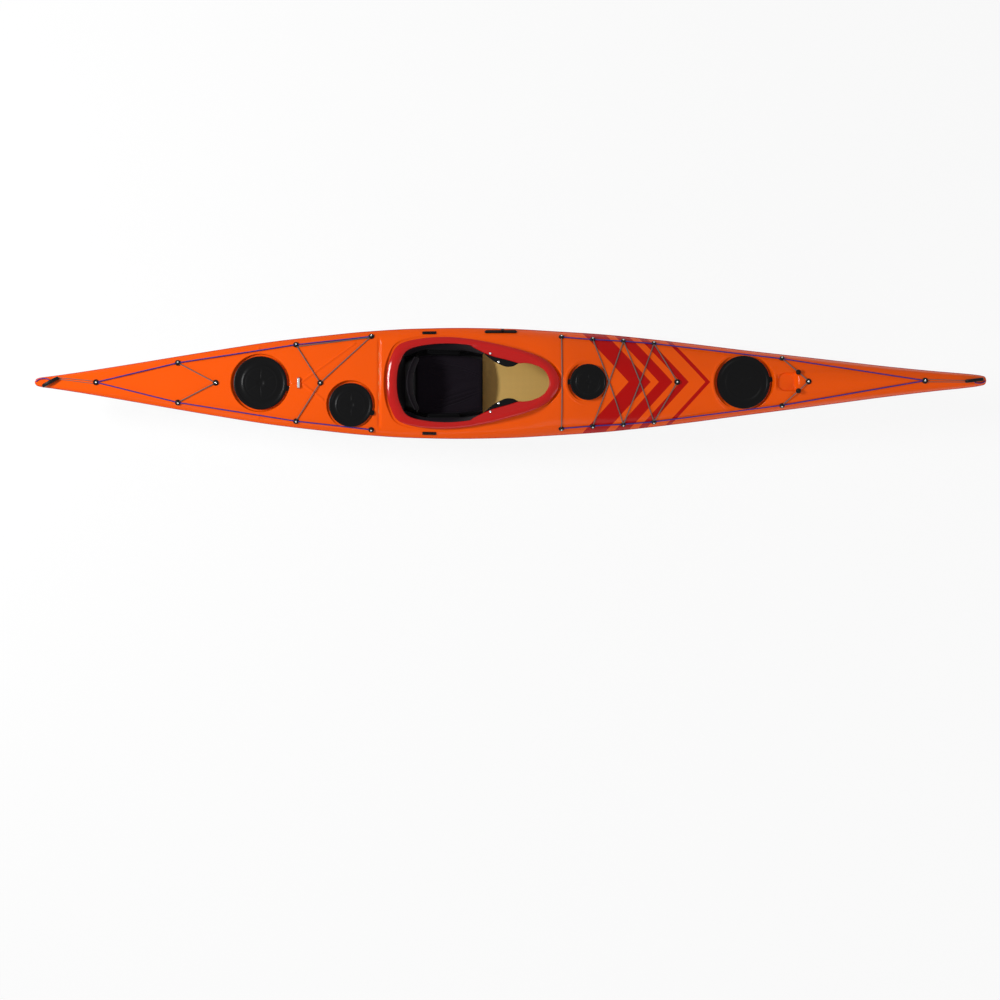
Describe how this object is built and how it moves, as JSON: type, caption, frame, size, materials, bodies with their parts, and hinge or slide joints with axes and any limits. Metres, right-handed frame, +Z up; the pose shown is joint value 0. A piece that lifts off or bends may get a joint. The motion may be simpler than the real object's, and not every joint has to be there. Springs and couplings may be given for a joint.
{
  "type": "sea kayak",
  "caption": "Composite sea kayak with a decked cockpit, round rubber hatches, deck lines and a drop skeg.",
  "frame": {"origin": "on the flat of the keel, amidships, on the centre line", "axes": "+X towards the bow, +Y to port, +Z up"},
  "size_m": [4.72, 0.5596, 0.6791],
  "materials": {
    "white_gelcoat": "gloss",
    "orange_gelcoat": "gloss",
    "red_gelcoat": "gloss",
    "laminate": "satin",
    "black_rubber": "matte",
    "black_plastic": "satin",
    "navy_fabric": "matte",
    "black_foam": "matte",
    "aluminium": "satin",
    "stainless": "satin",
    "blue_cord": "matte",
    "grey_bungee": "matte",
    "pink_cord": "matte"
  },
  "bodies": {
    "boat": {"hull_shell": "white_gelcoat", "deck_shell": "orange_gelcoat", "seam_strip": "red_gelcoat", "fore_bulkhead": "laminate", "cockpit_bulkhead": "laminate", "stern_bulkhead": "laminate", "cockpit_coaming": "red_gelcoat", "thigh_pad_port": "black_foam", "thigh_pad_starboard": "black_foam", "stern_hatch_rim": "black_plastic", "day_hatch_rim": "black_plastic", "pod_hatch_rim": "black_plastic", "bow_hatch_rim": "black_plastic", "pod_tub": "laminate", "skeg_trunk": "laminate", "skeg_pin": "stainless", "skeg_cable": "black_plastic", "skeg_slider_track": "black_plastic", "seat_pan": "laminate", "seat_pad": "navy_fabric", "hip_pad_port": "black_foam", "hip_pad_starboard": "black_foam", "footrest_rail_port": "aluminium", "footrest_rail_starboard": "aluminium", "deck_line_aft": "blue_cord", "deck_line_fore": "blue_cord", "bungee_stern": "grey_bungee", "bungee_aft": "grey_bungee", "bungee_fore_band": "grey_bungee", "bungee_fore_cross_rear": "grey_bungee", "bungee_fore_cross_front": "grey_bungee", "bungee_fore_vee": "grey_bungee", "bungee_bow": "grey_bungee", "bungee_ball_port": "black_plastic", "bungee_ball_starboard": "black_plastic", "security_bar": "stainless", "strap_buckle_port": "black_plastic", "strap_buckle_starboard": "black_plastic"},
    "stern_lid": {"stern_hatch_lid": "black_rubber"},
    "day_lid": {"day_hatch_lid": "black_rubber"},
    "pod_lid": {"pod_hatch_lid": "black_rubber"},
    "bow_lid": {"bow_hatch_lid": "black_rubber"},
    "skeg": {"skeg_blade": "black_plastic", "skeg_pull_cord": "pink_cord"},
    "slider": {"skeg_slider_knob": "black_plastic"},
    "backrest": {"backrest": "navy_fabric"},
    "pedal_port": {"foot_pedal_port": "black_plastic"},
    "pedal_starboard": {"foot_pedal_starboard": "black_plastic"},
    "bow_toggle": {"toggle_bow": "black_plastic", "toggle_loop_bow": "blue_cord"},
    "stern_toggle": {"toggle_stern": "black_plastic", "toggle_loop_stern": "blue_cord"}
  },
  "joints": [
    {"name": "stern_hatch_lift", "type": "slide", "parent": "boat", "child": "stern_lid", "axis": [0, 0, 1], "range_m": [0, 0.08]},
    {"name": "day_hatch_lift", "type": "slide", "parent": "boat", "child": "day_lid", "axis": [0, 0, 1], "range_m": [0, 0.08]},
    {"name": "pod_hatch_lift", "type": "slide", "parent": "boat", "child": "pod_lid", "axis": [0, 0, 1], "range_m": [0, 0.08]},
    {"name": "bow_hatch_lift", "type": "slide", "parent": "boat", "child": "bow_lid", "axis": [0, 0, 1], "range_m": [0, 0.08]},
    {"name": "skeg_swing", "type": "hinge", "parent": "boat", "child": "skeg", "pos_m": [-1.628, 0, 0.098], "axis": [0, 1, 0], "range_deg": [0, 46]},
    {"name": "skeg_slider", "type": "slide", "parent": "boat", "child": "slider", "axis": [1, 0.0061, 0.0057], "range_m": [0, 0.0495]},
    {"name": "backrest_fold", "type": "hinge", "parent": "boat", "child": "backrest", "pos_m": [-0.457, 0, 0.15], "axis": [0, 1, 0], "range_deg": [0, 34]},
    {"name": "pedal_port_slide", "type": "slide", "parent": "boat", "child": "pedal_port", "axis": [0.9939, -0.0948, 0.057], "range_m": [-0.12, 0.155]},
    {"name": "pedal_starboard_slide", "type": "slide", "parent": "boat", "child": "pedal_starboard", "axis": [0.9939, 0.0948, 0.057], "range_m": [-0.12, 0.155]},
    {"name": "bow_toggle_lift", "type": "hinge", "parent": "boat", "child": "bow_toggle", "pos_m": [2.349, -0.004, 0.46987], "axis": [0, 1, 0], "range_deg": [0, 75]},
    {"name": "stern_toggle_lift", "type": "hinge", "parent": "boat", "child": "stern_toggle", "pos_m": [-2.35, 0.003, 0.3116], "axis": [0, -1, 0], "range_deg": [0, 75]}
  ],
  "couplings": [
    {"joint": "skeg_slider", "follows": "skeg_swing", "m_per_rad": 0.0612}
  ]
}
